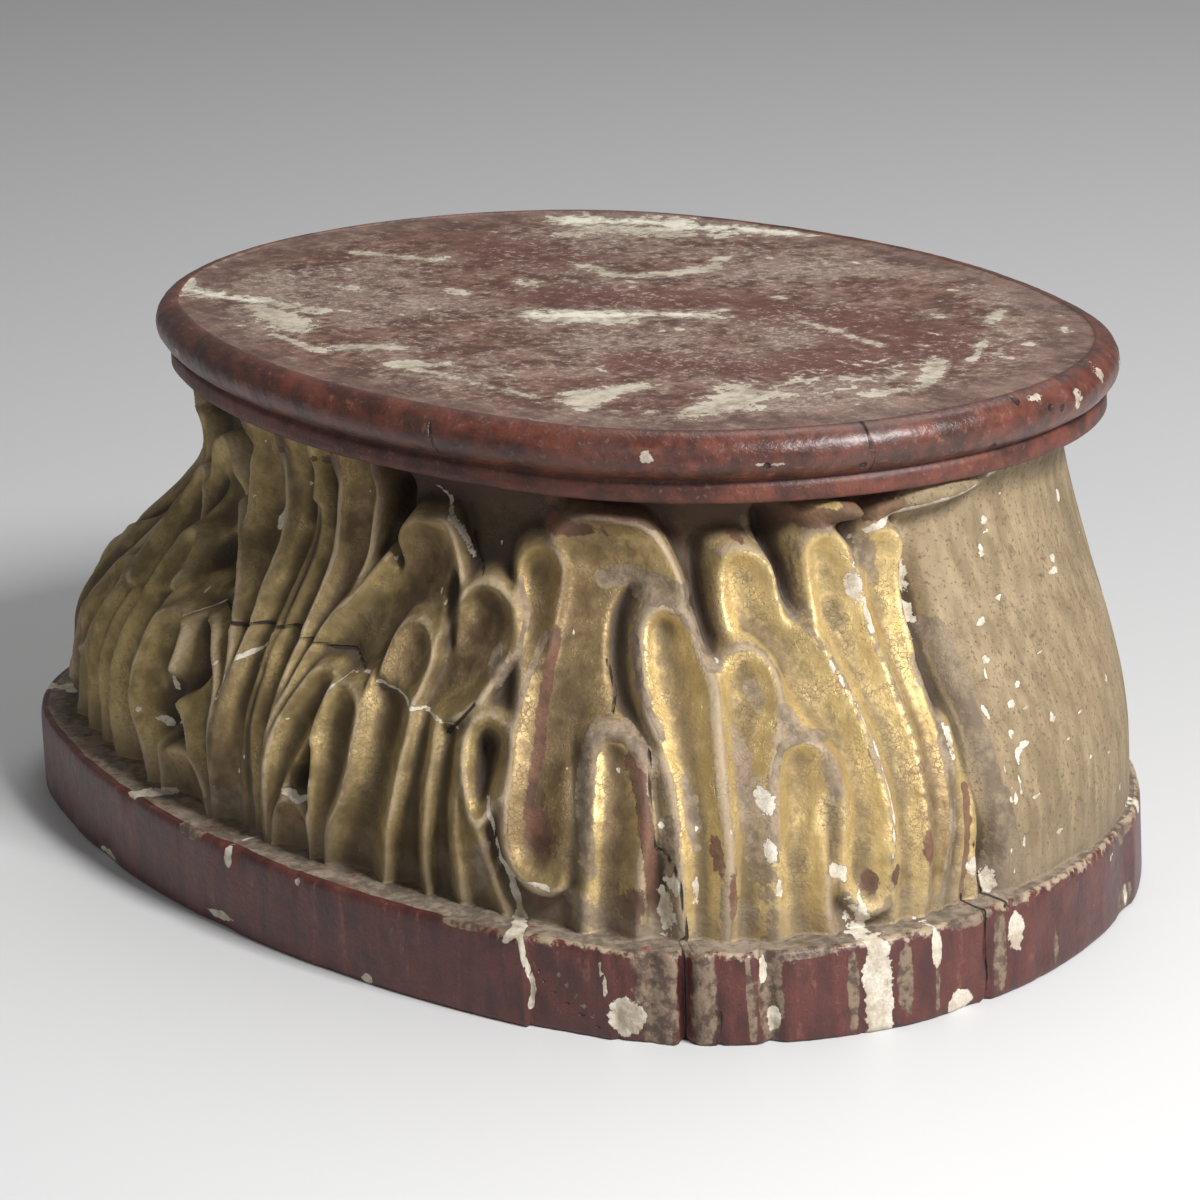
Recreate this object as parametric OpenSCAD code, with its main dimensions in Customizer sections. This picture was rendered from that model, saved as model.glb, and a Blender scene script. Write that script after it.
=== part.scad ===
// Oval carved base: a top board with a moulded edge on one carved, gilded block.
// Millimetres, +Z up, front towards -Y, origin at the middle of the underside.

/* [Whole] */
// Overall height
total_h = 180; // [150:1:220]
// Piece to draw: all, top_board or carved_block

/* [Foot] */
// Length of the foot band, along X
foot_len = 464; // [390:1:560]
// Depth of the foot in front of its widest line
foot_front = 128; // [108:1:154]
// Depth of the foot behind its widest line
foot_back = 192; // [165:1:230]
// Radius of the foot's front corners
foot_front_r = 108; // [95:1:118]
// Radius of the foot's back corners
foot_back_r = 180; // [155:1:186]
// Height of the foot band
foot_h = 30; // [24:1:36]
// Width of the flat ledge between carving and foot edge
ledge_w = 12; // [9:0.5:15]

/* [Top board] */
// Length of the top board over its rounded edge
top_len = 390; // [325:1:400]
// Width of the top board over its rounded edge
top_wid = 276; // [246:1:284]
// Radius of the top board's ends
top_end_r = 125; // [113:1:130]
// Height of the board's rounded edge
round_h = 16; // [13:0.5:19]
// Height of the fillet below the rounded edge
fillet_h = 7; // [5:0.5:9]
// How far the fillet stands back from the rounded edge
fillet_in = 5; // [4:0.5:7]
// How far the middle of the top board lies behind the middle of the foot
top_shift = 18; // [12:1:20]

/* [Neck] */
// How far the neck stands back from the board's rounded edge
neck_in = 16; // [12:0.5:19]
// Share of the bell's height taken by its curve, the rest being upright
curve_share = 0.85; // [0.75:0.01:0.95]
// How much the plain back narrows at the neck and spreads at the foot
back_flare = 6; // [0:0.5:8]

/* [Carving] */
// Depth of the carving from the leaf rims to the ground
relief = 8; // [5:0.5:9]
// Depth of the gouged hollow inside each lobe
hollow = 3; // [2:0.25:4]
// How far the tip of each lobe curls outwards
tip_curl = 2; // [0:0.25:3]
// Angle of the front leaf's middle, from the front centre towards +X
leaf_mid = 2; // [0:0.5:4]
// Angle from the front leaf's middle at which the carving stops
carved_to = 91; // [88:1:96]

/* [Hidden] */
// Vertical levels
block_h = total_h - round_h - fillet_h;
bell_h = block_h - foot_h;
// Plan positions: widest line of the foot, middle of the bell
foot_y = (foot_front - foot_back) / 2;
bell_y = foot_y + 20;
// Grid of the carved surface
fine_step = 1.3;
plain_step = 6;
rows = 23;
bezier_steps = 4;
// Sides of the board's outline
board_sides = 72;
// Leaf drawing unit: length along the surface for one degree round it
mm_per_deg = 3.1;
// Turn over which the plain back takes up its own flare
back_turn = 35;
// Where the rim of a lobe lies between its middle (0) and its edge (1)
rim_at = 0.55;

// Lobes of one half of the front, the other half being its mirror: [angle
// from the leaf's middle, height %] at base, middle and tip, then half
// width in degrees at base and tip
front_leaf = [
  [1, 0, 1, 40, 3, 80, 2.4, 3],
  [5, 0, 6, 42, 11, 94, 2.6, 4.6],
  [10, 6, 14, 50, 29, 94, 2.6, 7],
  [28, 39, 35, 54, 44, 80, 3.6, 5.2],
  [26, 36, 29, 49, 31, 68, 3, 4.6],
  [20, 0, 19, 24, 22, 49, 2.8, 4.6],
  [27, 0, 29, 24, 31, 45, 2.8, 3.4],
  [33, 0, 35, 24, 36, 42, 2.8, 3],
  [39, 0, 40, 20, 41, 36, 2.6, 3],
  [42, 17, 44, 33, 45, 49, 2.4, 3.8]
];
side_leaf = [
  [55, 2, 57, 26, 58, 49, 3.2, 3.6],
  [64, 2, 64, 40, 65, 77, 2.8, 4],
  [68, 2, 69, 36, 73, 65, 2.2, 3.4],
  [73, 2, 73, 24, 75, 48, 2.4, 3.2],
  [79, 2, 78, 44, 74, 88, 2.4, 3.8],
  [84, 2, 83, 48, 82, 92, 2.6, 3.2],
  [88, 2, 88, 56, 90, 94, 2, 3]
];
// Plain ribs round the tongue panel between the leaves
tongue_rim = [
  [46, 26, 49, 6, 53, 26, 1.6, 1.6],
  [48, 50, 49, 70, 51, 88, 2.4, 4],
  [68, 66, 68, 88, 54, 96, 1.6, 1.8]
];
lobes = concat(front_leaf, side_leaf, tongue_rim);

// Four-arc oval with half length a, half depth b and end radius r:
// [end centre offset, side radius, side centre offset, joint x, joint angle]
function oval(a, b, r) =
  let (c = a - r, big = (c * c + b * b - r * r) / (2 * (b - r)), d = big - b)
  [c, big, d, c + r * c / (big - r), atan2(d, c)];

// Distance from the middle of that oval to its outline at angle t, 0 to 90
function oval_r(a, b, r, t) =
  let (o = oval(a, b, r), join = atan2(r * sin(o[4]), o[3]))
  t < join
    ? o[0] * cos(t) + sqrt(r * r - pow(o[0] * sin(t), 2))
    : -o[2] * sin(t) + sqrt(o[1] * o[1] - pow(o[2] * cos(t), 2));

// Point on an oval whose front and back halves differ. s is what the
// outline stands back, mid is the y of its widest line, t is 0 to 360
function egg_point(a, bf, rf, bb, rb, s, mid, t) =
  let (q = t % 180, acute = q > 90 ? 180 - q : q,
       dist = t > 180 ? oval_r(a - s, bf - s, rf - s, acute)
                      : oval_r(a - s, bb - s, rb - s, acute))
  [dist * cos(t), dist * sin(t) + mid];

function foot_point(s, t) =
  egg_point(foot_len / 2, foot_front, foot_front_r, foot_back, foot_back_r, s, foot_y, t);
function top_point(s, t) =
  egg_point(top_len / 2, top_wid / 2, top_end_r, top_wid / 2, top_end_r, s, top_shift, t);

// Distance from the middle of the bell to an outline of fine points,
// in the direction a, found by walking to the chord that crosses it
outline_n = 180;
foot_ring = [for (i = [0 : outline_n]) foot_point(0, i * 360 / outline_n) - [0, bell_y]];
ledge_ring = [for (i = [0 : outline_n]) foot_point(ledge_w, i * 360 / outline_n) - [0, bell_y]];
neck_ring = [for (i = [0 : outline_n]) top_point(neck_in, i * 360 / outline_n) - [0, bell_y]];
function cross_r(ring, a) =
  let (u = [cos(a), sin(a)])
  max([for (i = [0 : outline_n - 1])
    let (p = ring[i], e = ring[i + 1] - ring[i], den = u[0] * e[1] - u[1] * e[0],
         along = (p[0] * e[1] - p[1] * e[0]) / den,
         part = (p[0] * u[1] - p[1] * u[0]) / den)
    abs(den) > 0.000001 && part >= -0.000001 && part <= 1.000001 ? along : 0]);

// Share of the way from the neck outline to the foot outline at height share h
function swell(h) =
  let (u = min(1, (1 - h) / curve_share))
  u * u * (3 - 2 * u);

// Point on the middle line of lobe l at t, 0 to 1, in leaf drawing units
function lobe_point(l, t) =
  let (k = bell_h / 100,
       p = [l[0] * mm_per_deg, l[1] * k], m = [l[2] * mm_per_deg, l[3] * k],
       q = [l[4] * mm_per_deg, l[5] * k - l[7] * mm_per_deg], c = 2 * m - (p + q) / 2)
  (1 - t) * (1 - t) * p + 2 * t * (1 - t) * c + t * t * q;
lobe_paths = [for (l = lobes) [for (i = [0 : bezier_steps]) lobe_point(l, i / bezier_steps)]];

// Cross section of a lobe: hollow in the middle, rim, then a steep side
function lobe_section(x) =
  x >= 1 ? 0 :
  x < rim_at ? relief - hollow * (1 - pow(x / rim_at, 2)) :
  relief * sqrt(1 - pow((x - rim_at) / (1 - rim_at), 2));

// Height of one lobe over the ground at point p of the leaf drawing
function lobe_height(i, p) =
  let (path = lobe_paths[i], l = lobes[i])
  max([for (j = [0 : bezier_steps - 1])
    let (a = path[j], e = path[j + 1] - a, t = max(0, min(1, ((p - a) * e) / (e * e))),
         s = (j + t) / bezier_steps, half = (l[6] + (l[7] - l[6]) * s) * mm_per_deg,
         x = norm(p - a - t * e) / half)
    x >= 1 ? 0 : lobe_section(x) + tip_curl * s * s * (1 - x)]);

// Carved height at angle a from the leaf's middle and height share h
function carved_height(a, h) =
  let (p = [abs(a) * mm_per_deg, h * bell_h],
       near = [for (i = [0 : len(lobes) - 1])
         if (abs(p[0] - lobe_paths[i][2][0]) < 60) lobe_height(i, p)])
  abs(a) >= carved_to ? relief : min(relief + tip_curl, max(concat([0], near)));

// Columns round the block, as angles from the leaf's middle: fine where it
// is carved, coarse where it is plain
angles = concat(
  [for (a = [-carved_to : fine_step : carved_to]) a],
  [for (a = [carved_to + plain_step / 2 : plain_step : 360 - carved_to - plain_step / 2]) a]
);
function backward(a) =
  let (u = max(0, min(1, ((a > 180 ? 360 - a : abs(a)) - carved_to) / back_turn)))
  u * u * (3 - 2 * u);
columns = [for (a = angles)
  let (t = a + leaf_mid - 90, extra = back_flare * backward(a))
  [cross_r(neck_ring, t) - extra, cross_r(ledge_ring, t) + extra, cross_r(foot_ring, t)]];
function on_column(i, dist, z) =
  let (a = angles[i] + leaf_mid - 90)
  [dist * cos(a), dist * sin(a) + bell_y, z];
function bell_point(i, row) =
  let (h = row / rows, a = angles[i], signed = a > 180 ? 360 - a : a, c = columns[i],
       fade = 1 - 0.4 * pow(h, 4),
       dist = c[0] + (c[1] - c[0]) * swell(h) - fade * (relief - carved_height(signed, h)))
  on_column(i, dist, foot_h + h * bell_h);

// Foot and bell, carved from one block, with the leaves at the front
module carved_block() {
  n = len(angles);
  points = concat(
    [for (z = [0, foot_h]) for (i = [0 : n - 1]) on_column(i, columns[i][2], z)],
    [for (row = [0 : rows]) for (i = [0 : n - 1]) bell_point(i, row)]);
  walls = [for (row = [0 : rows + 1]) for (i = [0 : n - 1])
    let (a = row * n + i, b = row * n + (i + 1) % n)
    each [[a, a + n, b], [b, a + n, b + n]]];
  caps = [[for (i = [0 : n - 1]) i], [for (i = [n - 1 : -1 : 0]) (rows + 2) * n + i]];
  color([0.62, 0.5, 0.24])
    polyhedron(points, concat(caps, walls), convexity = 10);
}

// Board with a rounded edge over a fillet: a flat plate and the edge
// worked round it, section by section
module top_board() {
  n = board_sides;
  round_r = round_h / 2;
  section = concat(
    [[round_r, block_h], [fillet_in, block_h], [fillet_in, block_h + fillet_h]],
    [for (t = [-60 : 30 : 90])
      [round_r * (1 - cos(t)), total_h - round_r + round_r * sin(t)]]);
  m = len(section);
  points = [for (i = [0 : n - 1]) for (q = section)
    let (p = top_point(q[0], i * 360 / n)) [p[0], p[1], q[1]]];
  walls = [for (i = [0 : n - 1]) for (j = [0 : m - 1])
    let (a = i * m + j, b = i * m + (j + 1) % m, c = ((i + 1) % n) * m + j,
         d = ((i + 1) % n) * m + (j + 1) % m)
    each [[a, b, c], [c, b, d]]];
  color([0.35, 0.12, 0.1]) {
    polyhedron(points, walls, convexity = 10);
    translate([0, 0, block_h])
      linear_extrude(total_h - block_h)
        polygon([for (i = [0 : n - 1]) top_point(round_r, i * 360 / n)]);
  }
}

carved_block();
top_board();
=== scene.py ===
import math

import bpy
import numpy as np
from mathutils import Matrix, Vector


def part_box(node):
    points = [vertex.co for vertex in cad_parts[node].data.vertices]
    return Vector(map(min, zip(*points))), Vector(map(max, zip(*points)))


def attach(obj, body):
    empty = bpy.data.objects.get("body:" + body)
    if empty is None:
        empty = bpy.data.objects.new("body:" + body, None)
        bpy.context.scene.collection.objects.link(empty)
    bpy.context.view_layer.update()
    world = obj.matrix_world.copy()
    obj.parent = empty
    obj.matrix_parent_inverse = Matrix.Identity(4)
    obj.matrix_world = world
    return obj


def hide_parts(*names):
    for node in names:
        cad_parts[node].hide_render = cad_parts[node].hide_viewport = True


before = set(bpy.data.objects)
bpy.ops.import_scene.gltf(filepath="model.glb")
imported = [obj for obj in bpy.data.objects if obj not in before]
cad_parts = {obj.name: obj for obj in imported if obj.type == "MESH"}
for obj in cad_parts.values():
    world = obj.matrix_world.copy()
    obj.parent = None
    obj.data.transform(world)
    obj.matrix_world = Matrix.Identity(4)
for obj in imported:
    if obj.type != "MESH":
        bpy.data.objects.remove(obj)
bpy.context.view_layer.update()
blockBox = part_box("carved_block")
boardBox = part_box("top_board")
rng = np.random.default_rng(41)


# Outlines are in millimetres, from the middle of the underside.
def mm(corner):
    return [v * 1000.0 for v in corner]


def ovalRadius(a, b, r, t):
    # distance from the middle of a four-arc oval at angle t, 0 to a quarter turn
    c = a - r
    big = (c * c + b * b - r * r) / (2 * (b - r))
    d = big - b
    turn = math.atan2(d, c)
    joint = math.atan2(r * math.sin(turn), c + r * c / (big - r))
    end = c * np.cos(t) + np.sqrt(np.maximum(r * r - (c * np.sin(t)) ** 2, 0))
    side = -d * np.sin(t) + np.sqrt(big * big - (d * np.cos(t)) ** 2)
    return np.where(t < joint, end, side)


def ringPoints(half, front, frontR, back, backR, middle, inset=0.0, count=2880):
    t = np.linspace(-math.pi, math.pi, count, endpoint=False)
    q = np.abs(t)
    q = np.where(q > math.pi / 2, math.pi - q, q)
    rad = np.where(t < 0,
                   ovalRadius(half - inset, front - inset, frontR - inset, q),
                   ovalRadius(half - inset, back - inset, backR - inset, q))
    return np.stack([rad * np.cos(t), rad * np.sin(t) + middle], 1)


def radiusAt(ring, angle, centre):
    # polar radius of a ring of points about a centre on the Y axis
    a = np.arctan2(ring[:, 1] - centre, ring[:, 0])
    r = np.hypot(ring[:, 0], ring[:, 1] - centre)
    order = np.argsort(a)
    return np.interp(angle, a[order], r[order], period=2 * math.pi)


def smooth(lo, hi, x):
    u = np.clip((x - lo) / (hi - lo), 0, 1)
    return u * u * (3 - 2 * u)


def waves(x, y, scale, count=7, seed=1):
    # slow hand-made unevenness, about -1 to 1, with scale as the typical wavelength
    r = np.random.default_rng(seed)
    total = np.zeros(np.broadcast(x, y).shape)
    for i in range(count):
        turn = r.uniform(0, 2 * math.pi)
        k = 2 * math.pi / (scale * r.uniform(0.6, 1.7))
        total += np.sin(k * (x * math.cos(turn) + y * math.sin(turn)) + r.uniform(0, 6.28))
    return total / math.sqrt(count * 1.4)


block = {
    "widestLine": -32.0,       # y of the foot's widest line
    "frontCorner": 108.0,      # radius of the foot's front corners
    "backCorner": 180.0,
    "footHeight": 30.0,
    "ledge": 12.0,
    "neckInset": 16.0,         # how far the neck stands back from the board's edge
    "boardCorner": 125.0,
    "curveShare": 0.85,
    "centreBack": 20.0,        # the bell's middle behind the widest line
    "backNeck": 6.0,           # how much narrower the neck is behind
    "backLedge": 6.0,          # how much narrower the ledge is behind
    "ground": 8.0,             # depth of the ground between the lobes
    "fineStep": 0.36,          # degrees
    "plainStep": 1.6,
    "carvedTo": 97.0,
    "bellRows": 118,
    "neckFlare": 4.0,          # the neck spreads again under the board
    "leftDip": 12.0,           # the bell is hollower at the left end
    "facets": [50.8, 58.4, 63.6, 69, 71.6, 77.6, 81.6, 84.6, 89.7, 94.6, 99, 104.5, 109.5, 116],
    "facetInset": 1.0,         # knife-cut facets on the right of the foot
    # splits in the foot: degrees, half width in degrees, depth
    "splits": [(64.2, 0.55, 6.0), (70.6, 0.7, 3.2), (58.6, 0.35, 1.4), (66.6, 0.25, 1.6),
               (89.8, 0.3, 2.4), (99, 0.3, 1.2), (77.8, 0.3, 1.0), (109.5, 0.3, 1.0),
               (61.5, 0.4, 1.2)],
    # notches: degrees, height, half width in degrees, depth
    "nicks": [(6, 30, 3.2, 1.4), (2, 3, 4.0, 1.0), (-31, 3, 3.4, 1.2), (-22, 30, 2.0, 1.0),
              (19.6, 27, 0.7, 0.6), (88, 2, 1.6, 1.6), (60, 3, 1.4, 1.6), (-62, 1, 3, 1.2),
              (140, 29, 4, 1.4), (-128, 2, 5, 1.3), (170, 1, 3, 1.0)],
}
footLo, footHi = mm(blockBox[0]), mm(blockBox[1])
boardLo, boardHi = mm(boardBox[0]), mm(boardBox[1])
bellMiddle = block["widestLine"] + block["centreBack"]
boardMiddle = (boardLo[1] + boardHi[1]) / 2
boardHalf = (boardHi[0] - boardLo[0]) / 2
boardDepth = (boardHi[1] - boardLo[1]) / 2
footHalf = (footHi[0] - footLo[0]) / 2
blockTop = footHi[2]
totalTop = boardHi[2]


def footRing(inset):
    return ringPoints(footHalf, block["widestLine"] - footLo[1], block["frontCorner"],
                      footHi[1] - block["widestLine"], block["backCorner"],
                      block["widestLine"], inset)


def boardRing(inset):
    return ringPoints(boardHalf, boardDepth, block["boardCorner"], boardDepth,
                      block["boardCorner"], boardMiddle, inset)


# The carving is drawn on a chart: degrees round from the front middle, and mm up.
# Each lobe is a gouged spoon: (degrees, height, half width in degrees) along its middle line.
# They are listed from back to front, and the left half is the mirror of the right.
# hollow is the depth for each width, lift raises the tip, rim and wall are widths in mm,
# and cut marks a lobe that is snapped off at the break across the front leaf.

frontLobes = [
    {"line": [(3.2, 20, 4.2), (3.2, 60, 4.2), (3.8, 95, 4.6), (4.3, 128, 5.6), (4.0, 170, 5.6)],
     "hollow": 0.36, "rim": 0.7, "wall": 1.9},
    {"line": [(7.4, 66, 1.4), (8.8, 84, 2.6), (9.8, 100, 3.2), (13.6, 124, 6.0),
              (15.4, 170, 7.0)],
     "hollow": 0.36, "rim": 0.7, "wall": 1.9},
    {"line": [(8.2, 34, 2.2), (9.4, 58, 3.4), (11.8, 76, 5.0), (19, 96, 8.0),
              (27.4, 112, 9.6), (32.6, 127, 8.9)],
     "hollow": 0.34, "rim": 0.9, "wall": 2.0},
    {"line": [(8.6, 28, 2.2), (9.6, 52, 3.0), (12.4, 70, 4.6), (16.0, 83, 4.8)],
     "hollow": 0.36, "lift": 0.6, "rim": 0.8, "wall": 1.9},
    {"line": [(13.8, 18, 6.6), (13.6, 34, 6.0), (13.6, 42, 3.6)],
     "hollow": 0.22, "lift": 0.4, "rim": 0.8, "wall": 1.9},
    {"line": [(35.4, 85, 3.4), (38.6, 95, 5.0), (42.6, 106, 5.8), (44.6, 114, 5.8)],
     "hollow": 0.34, "lift": 1.8, "rim": 1.5},
    {"line": [(32.0, 96, 5.1), (32.8, 102, 5.1)], "hollow": 0.2, "lift": 1.4, "rim": 0.9},
    {"line": [(45.8, 20, 4.2), (44.4, 44, 2.9), (43.4, 60, 2.3), (43.2, 70, 2.0)],
     "hollow": 0.26, "lift": 0.4, "rim": 0.6, "wall": 1.9},
    {"line": [(40.0, 20, 4.0), (39.8, 45, 3.3), (40.2, 62, 2.9), (40.6, 80, 2.8),
              (40.8, 96, 2.8)],
     "hollow": 0.42, "lift": 0.6, "cut": 1, "rim": 0.6, "wall": 1.9},
    {"line": [(34.4, 20, 5.0), (34.9, 45, 3.9), (35.7, 62, 3.4), (36.6, 82, 3.1),
              (36.8, 99, 3.1)],
     "hollow": 0.42, "lift": 0.8, "cut": 1, "rim": 0.6, "wall": 1.9},
    {"line": [(25, 20, 6.4), (27.2, 45, 5.8), (29.2, 62, 5.0), (30.2, 84, 5.2), (30.4, 104, 5.2)],
     "hollow": 0.34, "lift": 1.0, "cut": 1, "rim": 0.7, "wall": 1.9},
    {"line": [(18.8, 24, 2.2), (19.4, 44, 3.0), (20.9, 60, 4.6), (21.3, 74, 4.9),
              (21.8, 80, 4.8)],
     "hollow": 0.36, "lift": 1.8, "rim": 0.8, "wall": 1.9},
    {"line": [(45.2, 62, 1.8), (45.8, 73, 3.2), (46.3, 80, 4.0)], "hollow": 0.36, "lift": 1.6},
]
tongueLobes = [
    {"line": [(51.8, 55, 4.4), (53.4, 78, 4.9), (57, 104, 8.0), (60.8, 127, 9.6)],
     "hollow": 0.34, "lift": 0.0, "rim": 1.8},
    {"line": [(52.0, 112, 2.8), (52.4, 131, 4.2)],
     "hollow": 0.30, "lift": -1.5, "rim": 0.5, "wall": 1.9},
]
sideLobes = [
    {"line": [(89.6, 20, 1.8), (90.5, 45, 1.7), (91.2, 70, 1.4), (91.3, 86, 0.9)],
     "hollow": 0.3, "lift": -1.5, "rim": 0.5},
    {"line": [(85.4, 20, 2.0), (87.0, 50, 2.2), (88.3, 80, 2.5), (88.5, 105, 2.8),
              (88.9, 125, 3.0), (89.8, 138, 3.0)],
     "hollow": 0.26, "rim": 0.8, "wall": 2.0},
    {"line": [(83.2, 20, 2.1), (84.1, 50, 2.5), (84.6, 80, 2.8), (84.3, 100, 3.1),
              (83.8, 122, 3.4), (83.6, 138, 3.4)],
     "hollow": 0.28, "lift": 0.6, "rim": 0.8, "wall": 2.0},
    {"line": [(82.6, 150.5, 1.2), (84.5, 152, 1.5), (86.8, 151, 1.2)],
     "hollow": 0, "lift": 4.0, "rim": 0.5, "wall": 2.0},
    {"line": [(89.2, 148, 0.9), (92, 151, 1.2), (96, 152.5, 1.2), (101, 154, 0.7)],
     "hollow": 0, "lift": 4.0, "rim": 0.5, "wall": 2.0},
    {"line": [(80.4, 40, 2.2), (79.9, 50, 3.0), (80.6, 66, 2.8), (80.6, 80, 2.9),
              (79.0, 99, 4.0), (76.2, 117, 4.4), (75.4, 132, 4.1)],
     "hollow": 0.28, "lift": 0.4, "rim": 1.0},
    {"line": [(74.6, 20, 3.0), (74.4, 44, 3.0), (74.6, 60, 3.2), (75.6, 74, 3.6),
              (76.0, 80, 3.5)],
     "hollow": 0.28, "lift": 1.2, "rim": 1.4},
    {"line": [(69.7, 20, 2.4), (70.2, 55, 2.5), (71, 80, 3.0), (72.8, 98, 3.6), (73.6, 105, 3.5)],
     "hollow": 0.30, "lift": 0.8, "rim": 1.3},
    {"line": [(66.0, 20, 2.6), (66.6, 55, 2.8), (66.7, 80, 3.3), (66.6, 102, 4.1),
              (66.8, 116, 4.0)],
     "hollow": 0.30, "lift": 1.4, "rim": 2.4},
    {"line": [(58.4, 20, 3.2), (58.8, 50, 3.4), (59.6, 66, 3.6), (60, 82, 3.6)],
     "hollow": 0.32, "lift": 1.6, "rim": 2.8},
]
# Deep cuts beside the lobes: the same kind of line, and a depth in mm.
# Half 1 is only on the right, -1 only on the left.
slots = [
    {"line": [(0.2, 24, 1.0), (0.2, 60, 0.9), (-0.4, 90, 1.0), (0, 115, 1.5), (-0.6, 134, 1.7)],
     "depth": 4.5},
    {"line": [(4.2, 131, 2.4), (3.4, 146, 2.8)], "depth": 4.0},
    {"line": [(13.8, 55.5, 2.0), (15.2, 58, 1.9), (16.0, 67, 0.9)], "depth": 9.0, "half": 1},
    {"line": [(18.2, 56, 3.0), (19.6, 60, 2.4), (15.4, 70, 1.5), (15.6, 80, 1.9),
              (17.6, 88, 1.0)],
     "depth": 9.0, "half": -1},
    {"line": [(27, 105, 2.6), (23, 108, 3.6), (20, 104, 2.6)], "depth": 9.0, "half": -1},
    {"line": [(24.8, 123, 0.8), (22.4, 146, 2.6)], "depth": 7.0},
    {"line": [(38.5, 104, 0.7), (38.4, 118, 1.7), (38.0, 124, 1.0)], "depth": 6.0},
    {"line": [(45.5, 66, 0.9), (45.9, 78, 1.4)], "depth": 6.0},
    {"line": [(55.6, 46, 1.2), (56.2, 66, 1.0), (57, 84, 0.9)], "depth": 5.0},
    {"line": [(63.4, 87, 0.7), (61.8, 96, 1.1), (61.6, 108, 1.2), (62.6, 119, 1.0),
              (64.4, 127, 0.6)],
     "depth": 7.0},
    {"line": [(71.0, 112, 0.8), (71.3, 125, 1.1), (72.2, 140, 1.0)], "depth": 6.0},
    {"line": [(79.8, 121, 0.9), (79.9, 134, 1.1), (79.3, 150, 1.2)], "depth": 8.0},
    {"line": [(87.6, 134, 0.6), (87.8, 148, 0.9)], "depth": 5.0},
    {"line": [(77.2, 50, 0.5), (77.4, 62, 0.8), (78.2, 72, 0.6)], "depth": 4.0},
    {"line": [(92.6, 24, 0.6), (92.4, 60, 0.6), (92.0, 90, 0.6), (91.6, 105, 0.7),
              (92.4, 128, 0.8), (93.6, 144, 0.8)],
     "depth": 4.0},
    {"line": [(88.0, 30, 0.5), (89.4, 55, 0.5), (90.4, 86, 0.5), (90.6, 104, 0.6)], "depth": 3.5},
]
# Cracks, as chart points; these are not mirrored.
cracks = [
    [(-24, 94.5), (-17, 94), (-12, 93), (-8.5, 93.2), (-6.5, 95), (-1, 95.8), (2, 97), (5, 95.8),
     (12, 95.8), (15, 95), (18, 95.2), (20.5, 93), (23, 92)],
    [(63.2, 86), (62.7, 72), (62.8, 60), (63.8, 57), (64.5, 50), (64.8, 40), (65, 31),
     (64.3, 28), (64.2, -2)],
    [(60.4, 107), (60.9, 99), (60.2, 95)],
    [(40.5, 137), (42, 130), (43.5, 127)],
    [(89.9, 32), (89.7, 16), (90.1, -2)],
    [(51, 26), (53, 14), (57.5, 3)],
    [(66.8, 12), (66.5, -2)],
    [(91.2, 48), (92.2, 40), (92.4, 31), (92, 29)],
    [(44.2, 92), (42.2, 86), (40.3, 81)],
]


def smoothLine(points, steps=7):
    # a rounded line through the given points
    p = np.array([points[0]] + list(points) + [points[-1]], float)
    out = []
    for i in range(1, len(p) - 2):
        for s in range(steps):
            t = s / steps
            out.append(0.5 * ((2 * p[i]) + (p[i + 1] - p[i - 1]) * t
                              + (2 * p[i - 1] - 5 * p[i] + 4 * p[i + 1] - p[i + 2]) * t * t
                              + (3 * p[i] - p[i - 1] - 3 * p[i + 1] + p[i + 2]) * t ** 3))
    out.append(p[-2])
    return np.array(out)


def alongLine(line, deg, high, perDeg):
    # distance in mm to a line on the chart, the line's half width there and the share along it
    best = np.full(deg.shape, 1e9)
    half = np.zeros(deg.shape)
    share = np.zeros(deg.shape)
    n = len(line) - 1
    for j in range(n):
        a, b = line[j], line[j + 1]
        ex, ez = (b[0] - a[0]) * perDeg, np.full(deg.shape, b[1] - a[1])
        px, pz = (deg - a[0]) * perDeg, high - a[1]
        t = np.clip((px * ex + pz * ez) / (ex * ex + ez * ez + 1e-9), 0, 1)
        d = np.hypot(px - t * ex, pz - t * ez)
        w = (a[2] + (b[2] - a[2]) * t) * perDeg if len(a) > 2 else d
        take = d - w < best - half if len(a) > 2 else d < best
        best = np.where(take, d, best)
        half = np.where(take, w, half)
        share = np.where(take, (j + t) / n, share)
    return best, half, share


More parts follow.
